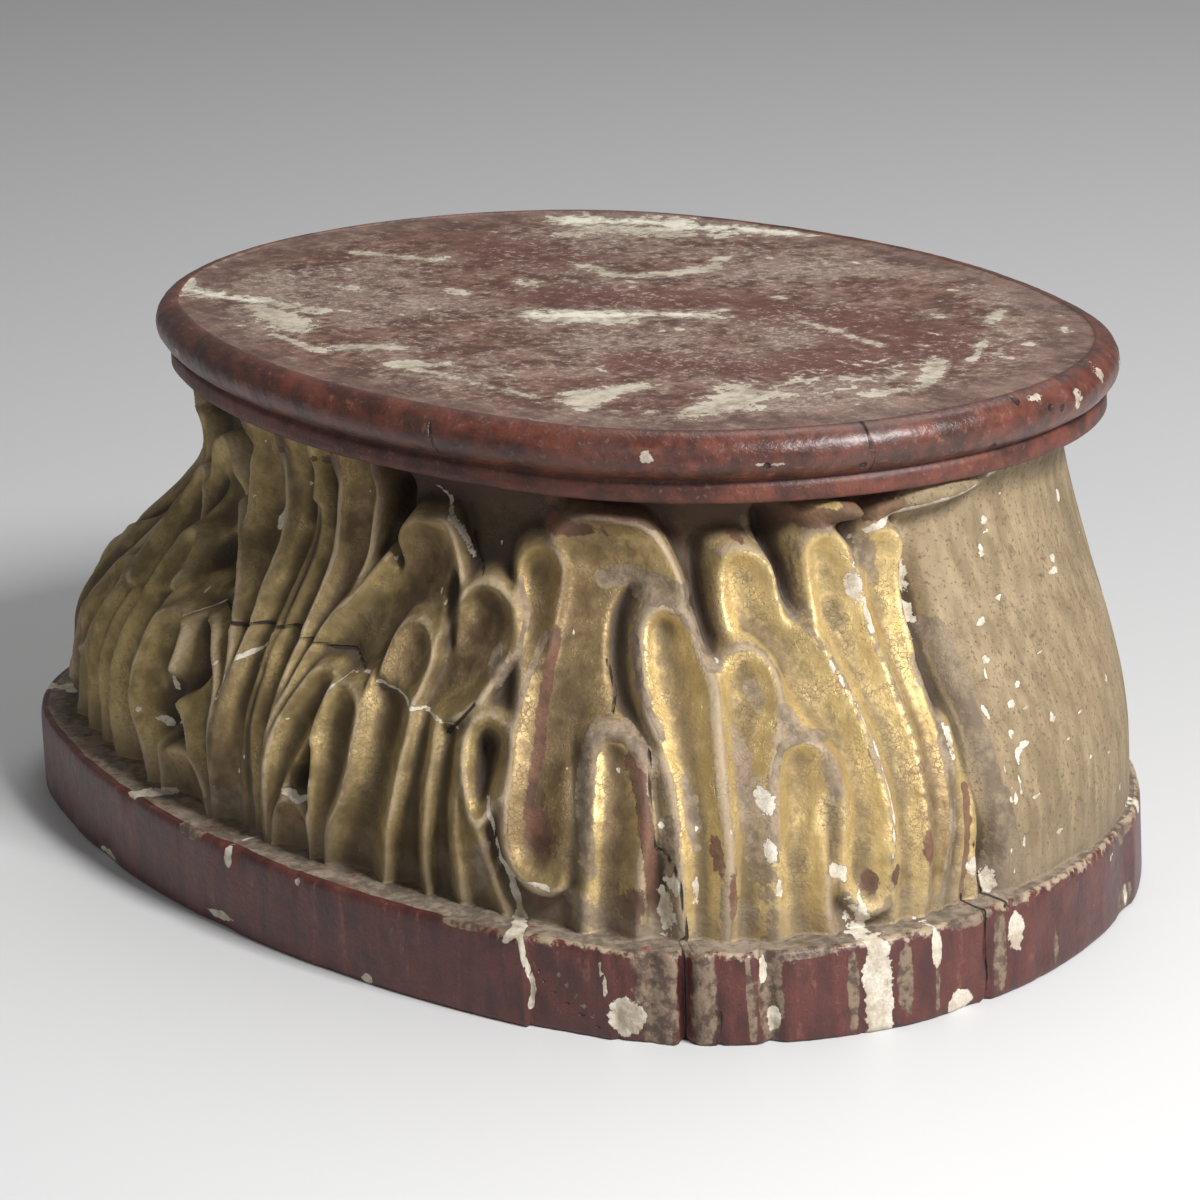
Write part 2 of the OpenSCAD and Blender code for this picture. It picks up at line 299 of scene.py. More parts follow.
def carve(deg, high, perDeg):
    # the relief in mm above the bell, and where it is carved, on a rim, in a bowl or on a lobe
    mirrored = np.interp(-deg, [0, 8, 20, 33, 60, 97], [0, 8, 15.5, 25, 54, 97])
    side = np.where(deg < 0, mirrored, deg)
    edge = 92.2 + 0.6 * waves(high, high * 0, 30, seed=4)
    carved = 1 - smooth(edge - 0.6, edge + 1.2, side)
    height = -block["ground"] * carved
    height += 3.0 * carved * (1 - smooth(30, 40, high))
    rim = np.zeros(deg.shape)
    inner = np.zeros(deg.shape)
    onLobe = np.zeros(deg.shape)
    curl = 6.5 * smooth(116, 145, high)
    wob = waves(deg * 3.0, high, 26, seed=8)
    for lobe in frontLobes + tongueLobes + sideLobes:
        line = smoothLine(lobe["line"])
        reach = line[:, 2].max() + 1
        near = ((side > line[:, 0].min() - reach) & (side < line[:, 0].max() + reach)
                & (high < line[:, 1].max() + 34) & (high > line[:, 1].min() - 34))
        s, z, k = side[near], high[near], perDeg[near]
        d, w, share = alongLine(line, s, z, k)
        w = w * (1 + 0.05 * wob[near])
        rimWide = np.minimum(lobe.get("rim", 1.2), w * 0.2)
        wall = np.minimum(lobe.get("wall", 2.2), w * 0.26)
        bowl = np.maximum(w - wall - rimWide, 0.5)
        crest = lobe.get("lift", 0.0) * (0.3 + 0.7 * share) + curl[near] * share
        deep = np.minimum(lobe["hollow"] * 2.0 * w, 9.5)
        h = crest - deep * (1 - np.clip(d / bowl, 0, 1) ** 2)
        onRim = np.clip((d - bowl) / rimWide, 0, 1)
        h = h + 0.35 * np.sin(math.pi * onRim)
        drop = smooth(0, 1, (d - (w - wall)) / wall)
        now = height[near]
        h = np.where(d > w - wall, crest + (now - crest) * drop, h)
        inside = d < w
        if "cut" in lobe:
            snapped = np.interp(s, [27, 30, 33, 37, 42], [93, 90, 88.5, 86.5, 84])
            inside &= z < snapped + 1.2 * waves(s * 3, s * 0, 5, 6, seed=9)
        height[near] = np.where(inside, h, now)
        ridge = np.exp(-((d - bowl - rimWide * 0.5) / (rimWide * 0.6 + 0.5)) ** 2)
        rim[near] = np.where(inside, ridge, rim[near])
        onLobe[near] = np.where(inside, 1 - drop, onLobe[near])
        inner[near] = np.where(inside, np.clip(1 - d / bowl, 0, 1), inner[near])
    for slot in slots:
        line = smoothLine(slot["line"])
        near = ((side > line[:, 0].min() - 4) & (side < line[:, 0].max() + 4)
                & (high > line[:, 1].min() - 12) & (high < line[:, 1].max() + 12)
                & (deg * slot.get("half", 0) >= 0))
        d, w = alongLine(line, side[near], high[near], perDeg[near])[:2]
        cut = 1 - smooth(0.35, 1.15, d / w)
        height[near] -= slot["depth"] * cut
        rim[near] *= 1 - cut
        inner[near] *= 1 - cut
        onLobe[near] *= 1 - cut
    crack = np.full(deg.shape, 20.0)
    for points in cracks:
        line = smoothLine([(a, b, 0) for a, b in points], 5)[:, :2]
        near = (deg > line[:, 0].min() - 6) & (deg < line[:, 0].max() + 6)
        d = alongLine(line, deg[near], high[near], perDeg[near])[0]
        crack[near] = np.minimum(crack[near], d)
    height -= 1.6 * np.exp(-(crack / 0.8) ** 2) * (high > 29)
    height += (0.16 * waves(deg * 3.2, high, 9, 11, seed=21) * carved
               + 0.35 * waves(deg * 3.2, high * 0.4, 34, 7, seed=5))
    return height, carved, rim, inner, onLobe


def blur(a, n):
    # evens out a grid that closes on itself from side to side
    out = a.copy()
    for _ in range(n):
        out = (out + np.roll(out, 1, 1) + np.roll(out, -1, 1)) / 3
        up = np.concatenate([out[:1], out[:-1]])
        down = np.concatenate([out[1:], out[-1:]])
        out = (out + up + down) / 3
    return out


def gridMesh(name, points):
    # wraps a grid round the piece: points is rows x columns x 3, in mm
    rows, cols = points.shape[:2]
    bpy.ops.object.select_all(action="DESELECT")
    bpy.ops.mesh.primitive_grid_add(x_subdivisions=cols, y_subdivisions=rows - 1, size=1)
    piece = bpy.context.object
    piece.name = name
    piece.data.name = name
    wrapped = np.concatenate([points, points[:, :1]], 1).reshape(-1, 3) / 1000.0
    piece.data.vertices.foreach_set("co", wrapped.ravel())
    piece.data.update()
    return piece


def closeMesh(piece):
    # joins the seam, caps both ends and turns every face outwards
    bpy.context.view_layer.objects.active = piece
    bpy.ops.object.mode_set(mode="EDIT")
    bpy.ops.mesh.select_all(action="SELECT")
    bpy.ops.mesh.remove_doubles(threshold=0.000002)
    bpy.ops.mesh.select_all(action="DESELECT")
    bpy.ops.mesh.select_non_manifold()
    bpy.ops.mesh.edge_face_add()
    bpy.ops.mesh.select_all(action="SELECT")
    bpy.ops.mesh.normals_make_consistent(inside=False)
    bpy.ops.object.mode_set(mode="OBJECT")
    bpy.ops.object.shade_smooth()


def addValues(piece, name, values):
    # one number a vertex, for the material to read
    layer = piece.data.attributes.new(name, "FLOAT", "POINT")
    wrapped = np.concatenate([values, values[:, :1]], 1).astype(np.float32)
    layer.data.foreach_set("value", wrapped.ravel())


print("carving the block")
fineColumns = np.arange(-block["carvedTo"], block["carvedTo"], block["fineStep"])
plainColumns = np.arange(block["carvedTo"], 360 - block["carvedTo"], block["plainStep"])
columns = np.concatenate([fineColumns, plainColumns])
signed = np.where(columns > 180, columns - 360, columns)
turn = np.radians(columns - 90)
footR = radiusAt(footRing(0), turn, bellMiddle)
ledgeR = radiusAt(footRing(block["ledge"]), turn, bellMiddle)
neckR = radiusAt(boardRing(block["neckInset"]), turn, bellMiddle)
bellZ = np.linspace(block["footHeight"], blockTop, block["bellRows"])
share = (bellZ - block["footHeight"]) / (blockTop - block["footHeight"])
swell = smooth(0, 1, np.minimum(1, (1 - share) / block["curveShare"]))
degGrid, zGrid = np.meshgrid(signed, bellZ)
backward = smooth(80, 125, np.abs(signed))
neckR = neckR - block["backNeck"] * backward
ledgeR = ledgeR + block["backLedge"] * backward
bellR = neckR[None, :] * (1 - swell[:, None]) + ledgeR[None, :] * swell[:, None]
bellR += block["neckFlare"] * smooth(143, 157, zGrid)
bellR -= block["leftDip"] * np.exp(-((degGrid + 68) / 26) ** 2 - ((zGrid - 112) / 26) ** 2)
stepX = np.gradient(bellR * np.cos(turn), axis=1)
stepY = np.gradient(bellR * np.sin(turn), axis=1)
perDeg = np.hypot(stepX, stepY) / np.gradient(columns)[None, :]
perDeg[:, -1] = perDeg[:, -2]
height, carved, rim, inner, onLobe = carve(degGrid, zGrid, perDeg)
height = blur(height, 1)
# walls too steep for the grid are evened out, so that they stay smooth
steep = blur(np.clip(np.hypot(*np.gradient(height)) - 0.6, 0, 1), 2)
height = height * (1 - steep) + blur(height, 3) * steep
rim, inner, onLobe = blur(rim, 1) * 1.4, blur(inner, 1), blur(onLobe, 1)
bellR = bellR + height

# knife-cut facets, splits and notches on the right of the foot
footZ = np.array([0, 0.5, 1.6, 4, 7, 10, 13, 16, 19, 22, 25, 27.4, 29, 29.8, 30.0])
footInset = np.array([1.2, 0.5, 0.1, 0, 0, 0, 0, 0, 0, 0, 0, 0.1, 0.5, 1.1, 2.0])
footPlan = footR.copy()
breaks = np.array(block["facets"])
bx = np.radians(breaks - 90)
br = radiusAt(footRing(0), bx, bellMiddle) - block["facetInset"] - rng.uniform(0, 1.2, len(breaks))
px, py = br * np.cos(bx), br * np.sin(bx)
for i in range(len(breaks) - 1):
    hit = (signed >= breaks[i]) & (signed < breaks[i + 1])
    ux, uy = np.cos(turn[hit]), np.sin(turn[hit])
    ex, ey = px[i + 1] - px[i], py[i + 1] - py[i]
    footPlan[hit] = (px[i] * ey - py[i] * ex) / (ux * ey - uy * ex)
footPlan -= (2.5 * np.exp(-((np.abs(signed) - 122) / 26) ** 2)
             + 2.5 * np.exp(-((signed + 68) / 24) ** 2))
footRows = footPlan[None, :] - footInset[:, None] * np.ones(len(columns))[None, :]
fz, fd = footZ[:, None], signed[None, :]
for at, wide, deep in block["splits"]:
    footRows -= deep * np.exp(-((fd - at - 0.2 * waves(fz, fz * 0, 16, seed=int(at))) / wide) ** 2)
rough = smooth(46, 52, fd) * (1 - smooth(116, 125, fd))
footRows -= 0.35 * np.abs(waves(fd * 3.6, fz * 0.3, 14, 7, seed=31)) * rough
footRows -= 0.25 * np.maximum(0, waves(fd * 3.2, fz, 40, 6, seed=32))
for at, z0, wide, deep in block["nicks"]:
    footRows -= deep * np.exp(-((fd - at) / wide) ** 2 - ((fz - z0) / 5.0) ** 2)
shareOut = np.array([0.82, 0.62, 0.42, 0.22, 0.07])
base = bellR[0]
ledgeRows = base[None, :] + (footRows[-1] - base)[None, :] * shareOut[:, None]
ledgeZ = 30.0 + 0.35 * waves(fd * 3.3, ledgeRows * 0.7, 18, 7, seed=6) - 0.1

rowsR = np.concatenate([footRows, ledgeRows, bellR])
rowsZ = np.concatenate([np.repeat(footZ[:, None], len(columns), 1), ledgeZ, zGrid])
points = np.stack([rowsR * np.cos(turn), rowsR * np.sin(turn) + bellMiddle, rowsZ], 2)
nFoot, nLedge = len(footZ), len(shareOut)


def stack(foot, ledge, bell):
    # one value for the foot, one for the ledge and a grid for the bell, as the mesh has them
    return np.concatenate([np.full((nFoot, len(columns)), foot),
                           np.full((nLedge, len(columns)), ledge), bell])


cavity = height - blur(height, 14)
hollow = height - blur(height, 90)
degAll = np.concatenate([fd + fz * 0, fd + ledgeRows * 0, degGrid])
zAll = np.concatenate([fz + fd * 0, 30.0 + ledgeRows * 0, zGrid])
perAll = np.concatenate([np.repeat(perDeg[:1], nFoot + nLedge, 0), perDeg])


def field(a, b, scale, marks):
    # worn places as a soft field: 1 in the middle of a mark, 0 at its edge, -1 away from it.
    # A mark is (a, b, half a, half b) or a list of points with its half width in mm
    total = np.full(a.shape, -1.6)
    for mark in marks:
        if isinstance(mark[0], list):
            line = np.array(mark[0], float)
            reach = mark[1] * 2.6 + 2
            near = ((a > line[:, 0].min() - reach) & (a < line[:, 0].max() + reach)
                    & (b > line[:, 1].min() - reach) & (b < line[:, 1].max() + reach))
            d = alongLine(line, a[near], b[near], scale[near])[0]
            value = 1 - d / mark[1]
        else:
            near = (np.abs(a - mark[0]) < mark[2] * 2.6) & (np.abs(b - mark[1]) < mark[3] * 2.6)
            value = 1 - np.hypot((a[near] - mark[0]) / mark[2], (b[near] - mark[1]) / mark[3])
        total[near] = np.maximum(total[near], value)
    return total


# Worn places on the block: gesso chips, red bole, bare grey wood and tarnish, on the same chart.
whiteMarks = [
    ([(11.5, 50.5), (14, 48), (17, 49.5), (17.4, 57)], 0.9),
    ([(17.2, 58), (16.6, 72), (18, 84), (21, 91), (25, 92)], 0.5),
    ([(27.2, 91), (31, 88.5), (35, 86.5), (39, 85), (42, 83.5)], 0.7),
    ([(46.5, 66), (47.2, 54), (47.8, 47), (50, 43), (53, 42.5)], 0.8),
    ([(48.5, 45), (49.3, 37), (50, 31), (48.9, 28)], 1.5), (-17.4, 124, 1.3, 4), (-8, 75, 0.4, 4),
    ([(-7, 84), (-3, 90)], 0.8),
    ([(-28, 52), (-25, 50), (-22, 54)], 0.8),
    ([(-28, 62), (-26.4, 74), (-27.4, 86), (-24, 94)], 0.7),
    ([(31, 149), (35, 146), (38.6, 139), (41, 130)], 0.6),
    (72.3, 73, 0.6, 4), (72, 58, 0.4, 5), (72.4, 47, 0.35, 3),
    ([(81.2, 111), (82.4, 97), (83.1, 80), (83, 64), (82.3, 52)], 0.55), (77.4, 50, 0.8, 3),
    (79.4, 37, 0.6, 2), (66, 46, 0.35, 5),
    (92.4, 128, 0.9, 8), (91.3, 108, 0.5, 4), (90.8, 80, 0.5, 5), (91, 41, 0.5, 3),
    (93, 34, 0.6, 4), (92.2, 116, 0.6, 4),
    (63.5, 39, 0.6, 7), (64.2, 48, 0.4, 4),
    ([(88.6, 144), (92, 149), (96, 151.5), (101, 152.5)], 0.9), (86, 128, 0.7, 6),
    (86.6, 120, 0.4, 7),
    ([(97.6, 106), (97, 100), (96.6, 95)], 0.5), ([(99.2, 91), (98.4, 84), (98.0, 79)], 0.6),
    ([(103.9, 84), (103.2, 74)], 0.45),
    ([(97.2, 76), (96.6, 61)], 0.35), ([(102.4, 139), (101.8, 129)], 0.5),
    ([(104, 147), (103.2, 136)], 0.4),
    ([(96.9, 64), (96.4, 56)], 0.35), ([(100, 117), (99.3, 107)], 0.4), (96.6, 44, 0.3, 2),
    (100.6, 46, 0.3, 2), ([(103, 154), (108, 155)], 0.8),
    ([(50.4, 30), (50.7, 22), (51.5, 14), (51, 6)], 1.2), (59.6, 8, 1.7, 7),
    ([(57.4, 25), (58, 14)], 0.8), (71, 8, 0.5, 5), (70.3, 24, 0.4, 5), (79.2, 12, 1.3, 26),
    (84.5, 23, 0.5, 8),
    (86.8, 3, 1.5, 4), (93.2, 19, 1.1, 7), ([(99, 28), (99, 10)], 0.6),
    (104.3, 12, 0.7, 3), (105.8, 12.5, 0.7, 3), (107.3, 13, 0.7, 3),
    ([(109.6, 26), (109.4, 8)], 0.9), ([(111.2, 26), (111, 12)], 0.8),
    (4.5, 26, 0.9, 4), (2, 4, 3.4, 1.8), (-30.5, 2, 3.0, 1.6), (-39, 15, 0.5, 1.4),
    (-22, 30, 1.5, 1.6), (19.6, 27, 0.6, 2), (31, 2, 1.2, 2),
]
redMarks = [
    ([(51.0, 62), (52.2, 80), (53.2, 100), (54.6, 114)], 2.4), (52.4, 58, 1.6, 8),
    ([(61.8, 84), (62.2, 68), (62.4, 50), (62.4, 36)], 2.6),
    (80.6, 44, 0.8, 4), (82.6, 46, 0.6, 4), ([(82, 150), (87, 152)], 3.6),
    ([(89, 149), (95, 152), (101, 153)], 3.0),
    ([(92.8, 137), (94.6, 146)], 3.0), ([(91.2, 66), (90.4, 45), (89.6, 33)], 1.6),
    (60.6, 40, 1.2, 7), ([(54, 151), (60, 152.5), (65, 151), (68.4, 146)], 1.4),
    (75.8, 145, 0.9, 2), (68.8, 44, 0.4, 7), (67.8, 58, 0.5, 6), ([(70.2, 146), (71, 134)], 1.4),
    (-31, 151, 6, 3), (4, 151, 4, 2), (-14, 151, 5, 2),
    (57, 146, 4, 3), (86, 52, 0.5, 6), (52.5, 36, 2.5, 4),
]
greyMarks = [
    ([(49.6, 127), (50.6, 117), (49.6, 107), (47, 97)], 1.3),
    ([(49.8, 93), (51.5, 104), (53.2, 113)], 1.2),
    ([(57.0, 50), (56.8, 68), (57.4, 82), (59, 90), (61.5, 90), (63, 84)], 3.2),
    ([(65, 128), (68, 127), (70, 119), (70.4, 110)], 3.2),
    ([(63.4, 115), (63.2, 102), (64.6, 90)], 1.4), (71.3, 66, 1.1, 24),
    ([(72.4, 60), (72.8, 74), (74.5, 87), (77, 90), (79.2, 88)], 1.7),
    ([(77.6, 148), (79, 138), (79, 127), (80, 121)], 2.4),
    ([(61, 130), (64, 132), (67, 131), (70, 128)], 3),
    ([(87.6, 34), (89.3, 60), (90.4, 88), (90.4, 104)], 2.2),
    ([(93.7, 32), (93.9, 60), (93.5, 90), (93.1, 112)], 3.8),
    ([(96.4, 34), (95.2, 50), (94.8, 62)], 2.0), (88.4, 136, 1.2, 8), (76, 94, 1.0, 5),
    (74, 100, 0.8, 4), (78.4, 78, 0.8, 8), (66.2, 70, 0.7, 12),
    (-6, 36, 4, 6), (45.6, 44, 1.6, 10), (64, 62, 0.8, 10),
    ([(55.2, 40), (58, 33), (64, 32)], 3.2), (47, 103, 1.5, 5),
    (62, 15, 1.9, 22), (65.6, 14, 1.0, 20), (70.7, 15, 0.9, 22), (77.2, 15, 0.5, 15),
    (81.6, 17, 0.7, 12), (91.2, 15, 0.9, 16), ([(84.6, 28), (84.5, 3)], 0.9),
    ([(69, 28), (69.2, 2)], 1.0), ([(53.4, 21), (56.6, 7)], 0.8), (-5, 30, 3, 3), (44, 30, 3, 2),
    (98.8, 6, 0.6, 8), (73, 29, 3, 2), (88, 29, 3, 2),
]
tarnishMarks = [
    ([(52, 60), (54, 90), (58, 120), (60, 140)], 22), (32, 100, 6, 20), (44, 110, 6, 20),
    (32, 126, 8, 18), (60, 60, 2, 30), (88, 60, 3, 40),
    (-6, 50, 5, 24), (14, 40, 8, 14), (12, 130, 8, 22), (-14, 140, 12, 14),
]
chips = np.random.default_rng(5)


def around360(d):
    return d - 360 if d > 180 else d


for i in range(230):
    d0, z0 = around360(chips.uniform(95, 265)), chips.uniform(34, 153)
    long = chips.uniform(1.2, 5.0)
    whiteMarks.append(([(d0, z0), (d0 - long * 0.07, z0 + long)], chips.uniform(0.3, 0.8)))
for i in range(60):
    d0, z0 = chips.uniform(-38, 96), chips.uniform(34, 150)
    whiteMarks.append((d0, z0, chips.uniform(0.1, 0.3), chips.uniform(0.5, 1.2)))
for i in range(40):
    d0 = around360(chips.uniform(112, 320))
    marks = whiteMarks if i % 2 else greyMarks
    z0 = chips.choice([1, 6, 14, 28])
    marks.append((d0, z0, chips.uniform(0.6, 2.2), chips.uniform(1.5, 6)))
for i in range(20):
    d0, z0, long = chips.uniform(95, 114), chips.uniform(56, 154), chips.uniform(2, 8)
    whiteMarks.append(([(d0, z0), (d0 - long * 0.1, z0 - long)], chips.uniform(0.25, 0.45)))

crackAll = np.full(degAll.shape, 20.0)
for crackPoints in cracks:
    line = smoothLine([(a, b, 0) for a, b in crackPoints], 5)[:, :2]
    crackAll = np.minimum(crackAll, alongLine(line, degAll, zAll, perAll)[0])
blockPiece = gridMesh("carvedBlock", points)
blockValues = {
    "carved": stack(0.0, 0.0, carved), "rim": stack(0.0, 0.0, rim),
    "inner": stack(0.0, 0.0, inner), "onLobe": stack(0.0, 0.0, onLobe),
    "cavity": stack(0.0, 0.0, cavity), "hollow": stack(0.0, 0.0, hollow),
    "crack": crackAll, "foot": stack(1.0, 0.0, zGrid * 0),
    "ledge": stack(0.0, 1.0, zGrid * 0), "around": degAll, "high": zAll,
    "white": field(degAll, zAll, perAll, whiteMarks), "red": field(degAll, zAll, perAll, redMarks),
    "tarnish": field(degAll, zAll, perAll, tarnishMarks),
    "grey": field(degAll, zAll, perAll, greyMarks),
}
for name, values in blockValues.items():
    addValues(blockPiece, name, values)
closeMesh(blockPiece)
print("block faces", len(blockPiece.data.polygons))

board = {
    "round": 16.0,             # height of the rounded edge
    "filletInset": 5.0,
    "sideways": -2.5,          # the board sits a little to the left
    "columns": 800,
    "topRings": 86,
    "holes": [(68.5, 170), (77.7, 167.5), (95.5, 178.5), (101.5, 172.5), (99.6, 174), (92, 166)],
    "splits": [[(78.4, 181), (78.5, 173), (78.6, 165)], [(30, 176), (31, 166)]],
}
print("turning the board's edge")
bt = np.linspace(-math.pi, math.pi, board["columns"], endpoint=False)
halfRound = board["round"] / 2
arc = np.radians(np.linspace(-62, 90, 22))
# the edge from underneath round to the top, as (inset, height): fillet, round, flat
fillet = board["filletInset"]
profile = [(22.0, blockTop), (10.0, blockTop), (fillet + 0.5, blockTop), (fillet, blockTop + 0.6),
           (fillet, blockTop + 2.4), (fillet, blockTop + 4.6), (fillet + 0.3, blockTop + 6.2),
           (fillet + 1.6, blockTop + 6.9)]
profile += [(halfRound * (1 - math.cos(a)), totalTop - halfRound + halfRound * math.sin(a))
            for a in arc]
profile += [(halfRound + 1.2, totalTop), (halfRound + 2.6, totalTop)]
edgeRows = len(profile)
boardR, boardZ = [], []
for inset, z in profile:
    boardR.append(radiusAt(boardRing(inset), bt, boardMiddle))
    boardZ.append(np.full(len(bt), z))
rimR = radiusAt(boardRing(halfRound + 2.6), bt, boardMiddle)
for s in np.linspace(0.985, 0.01, board["topRings"]):
    boardR.append(rimR * s)
    boardZ.append(np.full(len(bt), totalTop))
boardR, boardZ = np.array(boardR), np.array(boardZ)
bdeg = np.degrees(bt)[None, :] + 90
bdeg = np.where(bdeg > 180, bdeg - 360, bdeg) + 0 * boardR
onEdge = np.zeros(boardR.shape)
onEdge[8:edgeRows - 2] = 1
dent = (0.35 * waves(bdeg * 3.2, boardZ, 30, 9, seed=71)
        + 0.18 * waves(bdeg * 3.2, boardZ, 7, 9, seed=72))
boardR = boardR - onEdge * (0.45 + 0.5 * dent)
boardX, boardY = boardR * np.cos(bt) + board["sideways"], boardR * np.sin(bt) + boardMiddle
onTop = np.zeros(boardR.shape)
onTop[edgeRows - 2:] = 1
boardZ = boardZ - onTop * (0.45 + 0.25 * waves(boardX, boardY, 70, 9, seed=73)
                           + 0.10 * waves(boardX, boardY, 12, 9, seed=74))
boardPoints = np.stack([boardX, boardY, boardZ], 2)
# Paint lost from the top, in mm across and back, and from the edge, in degrees and mm up.
topLoss = [
    ([(112, -20), (133, -15)], 5), ([(122, -20), (135, -40)], 9), ([(126, -30), (132, -54)], 7),
    ([(90, -44), (92, -66)], 7), ([(84, -60), (100, -68)], 5), (112, -66, 3, 2), (121, -58, 3, 3),
    ([(80, -73), (60, -75), (40, -78), (20, -80), (6, -82)], 2.6), ([(20, -70), (8, -80)], 4),
    ([(-12, -68), (-25, -80)], 6),
    ([(-60, -87), (-25, -89)], 2), ([(-150, -71), (-128, -70), (-108, -64), (-80, -58)], 5),
    ([(-100, -70), (-62, -76)], 7),
    ([(-185, -30), (-165, -60), (-145, -70)], 3), (-102, -30, 6, 3),
    ([(-150, 5), (-120, 17)], 3.5), (-70, -6, 6, 3), (-62, 20, 7, 4),
    ([(-20, -6), (0, 12), (20, 34)], 8), ([(-10, -6), (8, 12)], 6),
    ([(-138, 92), (-115, 112), (-82, 122)], 9), ([(-125, 88), (-90, 108)], 8),
    ([(-95, 122), (-62, 138)], 6), (-122, 78, 7, 5),
    ([(-70, 52), (-50, 50), (-38, 62), (-36, 82), (-45, 92)], 4.5),
    (-10, 92, 5, 4), (20, 70, 4, 3), (78, 90, 6, 4), ([(88, 112), (100, 96)], 3),
    ([(118, 80), (130, 68), (138, 58)], 1.6),
    ([(55, 52), (75, 53)], 2.2), ([(82, 51), (100, 50)], 2.2),
    ([(130, 50), (147, 35), (155, 25), (152, 5)], 3.4), (128, 14, 4, 3), (136, 27, 3, 3),
]
dust = np.random.default_rng(12)
for i in range(90):
    x0, y0 = dust.uniform(-170, 165), dust.uniform(-90, 130)
    topLoss.append((x0, y0, dust.uniform(0.8, 3.4), dust.uniform(0.6, 2.0)))
for i in range(26):
    x0, y0, t0 = dust.normal(126, 13), dust.normal(16, 16), dust.uniform(0, 3.1)
    bend = [(x0, y0), (x0 + 6 * math.cos(t0), y0 + 6 * math.sin(t0)),
            (x0 + 9 * math.cos(t0 + 0.8), y0 + 9 * math.sin(t0 + 0.8))]
    topLoss.append((bend, dust.uniform(0.5, 1.1)))
whiter = [([(-138, 92), (-115, 112), (-82, 122)], 16), ([(-138, -70), (-110, -64)], 8),
          ([(-20, -6), (20, 34)], 8), ([(-95, 122), (-62, 138)], 10)]
darkZone = [([(20, 50), (75, 62), (128, 62)], 20), ([(-40, 20), (20, 50)], 16),
            ([(60, -20), (100, 0)], 14), (-100, 50, 40, 18), (110, 20, 26, 22)]
edgeLoss = [
    (57, 173, 0.7, 2.2), (69, 170.5, 1.6, 0.9), (104.5, 173, 0.8, 4), (111, 176, 0.9, 3),
    ([(104, 158), (112, 158)], 0.9), ([(112, 160), (118, 166)], 1.4),
    (64, 160, 1.4, 0.6), (-10, 160, 2, 0.6), (-30, 159, 3, 0.8), (98, 178, 1.2, 1),
    (-36, 170, 1.0, 3), (86, 158, 3, 0.6), (120, 172, 1, 2),
    (150, 170, 3, 3), (190, 172, 2, 4), (-120, 172, 3, 3), (-90, 170, 2, 3),
]
boardPer = np.hypot(np.gradient(boardX, axis=1), np.gradient(boardY, axis=1)) / (360 / len(bt))
one = np.ones(boardR.shape)
lossTop = np.where(onTop > 0, field(boardX, boardY, one, topLoss), -1.6)
lossEdge = np.where(onTop > 0, -1.6, field(bdeg, boardZ, boardPer + 0.01, edgeLoss))
worm = np.full(boardR.shape, 20.0)
for d0, z0 in board["holes"]:
    worm = np.minimum(worm, np.hypot((bdeg - d0) * 3.1, boardZ - z0))
split = np.full(boardR.shape, 20.0)
for line in board["splits"]:
    split = np.minimum(split, alongLine(np.array(line, float), bdeg, boardZ, boardPer + 0.01)[0])
split = np.where(onTop > 0, 20, split)
worm = np.where(onTop > 0, 20, worm)
boardPiece = gridMesh("topBoard", boardPoints)
outline = radiusAt(boardRing(0), bt, boardMiddle)[None, :]
boardValues = {
    "edge": onEdge, "top": onTop, "around": bdeg, "lossTop": lossTop, "lossEdge": lossEdge,
    "worm": worm, "split": split, "darkZone": field(boardX, boardY, one, darkZone),
    "whiter": field(boardX, boardY, one, whiter), "inward": (1 - boardR / outline) * onTop,
}
for name, values in boardValues.items():
    addValues(boardPiece, name, values)
closeMesh(boardPiece)
print("board faces", len(boardPiece.data.polygons))

for piece, node, slot in ((blockPiece, "carved_block", "gilded_wood"),
                          (boardPiece, "top_board", "painted_board")):
    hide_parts(node)
    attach(piece, "root")


class Wire:
    # a shader socket that can be added, multiplied and mixed
    def __init__(self, tree, out):
        self.tree, self.out = tree, out

    def node(self, kind, inputs, output=0, **settings):
        made = self.tree.nodes.new(kind)
        for key, value in settings.items():
            setattr(made, key, value)
        for key, value in inputs.items():
            if isinstance(value, Wire):
                self.tree.links.new(value.out, made.inputs[key])
            else:
                made.inputs[key].default_value = value
        return Wire(self.tree, made.outputs[output])

    def reckon(self, operation, a, b):
        return self.node("ShaderNodeMath", {0: a, 1: b}, operation=operation)

    def __add__(self, other):
        return self.reckon("ADD", self, other)

    def __radd__(self, other):
        return self.reckon("ADD", other, self)

    def __sub__(self, other):
        return self.reckon("SUBTRACT", self, other)

    def __rsub__(self, other):
        return self.reckon("SUBTRACT", other, self)

    def __mul__(self, other):
        return self.reckon("MULTIPLY", self, other)

    def __rmul__(self, other):
        return self.reckon("MULTIPLY", other, self)

    def step(self, low, high):
        # 0 below low, 1 above high, and smooth between
        ends = {"Value": self, "From Min": low, "From Max": high}
        return self.node("ShaderNodeMapRange", ends, interpolation_type="SMOOTHSTEP")

    def blend(self, a, b):
        ends = {0: self, 6: colour(a), 7: colour(b)}
        return self.node("ShaderNodeMix", ends, 2, data_type="RGBA")

    def tones(self, low, high, a, b):
        # runs from one colour to another between two levels
        return self.step(low, high).blend(a, b)

    def value(self, name):
        return self.node("ShaderNodeAttribute", {}, 2, attribute_name=name)

    def noise(self, scale, detail=4.0, rough=0.55):
        inputs = {"Vector": self, "Scale": scale, "Detail": detail, "Roughness": rough}
        return self.node("ShaderNodeTexNoise", inputs)

    def cells(self, scale):
        inputs = {"Vector": self, "Scale": scale}
        return self.node("ShaderNodeTexVoronoi", inputs, feature="DISTANCE_TO_EDGE")

    def stretched(self, x, y, z):
        return self.node("ShaderNodeMapping", {"Vector": self, "Scale": (x, y, z)})


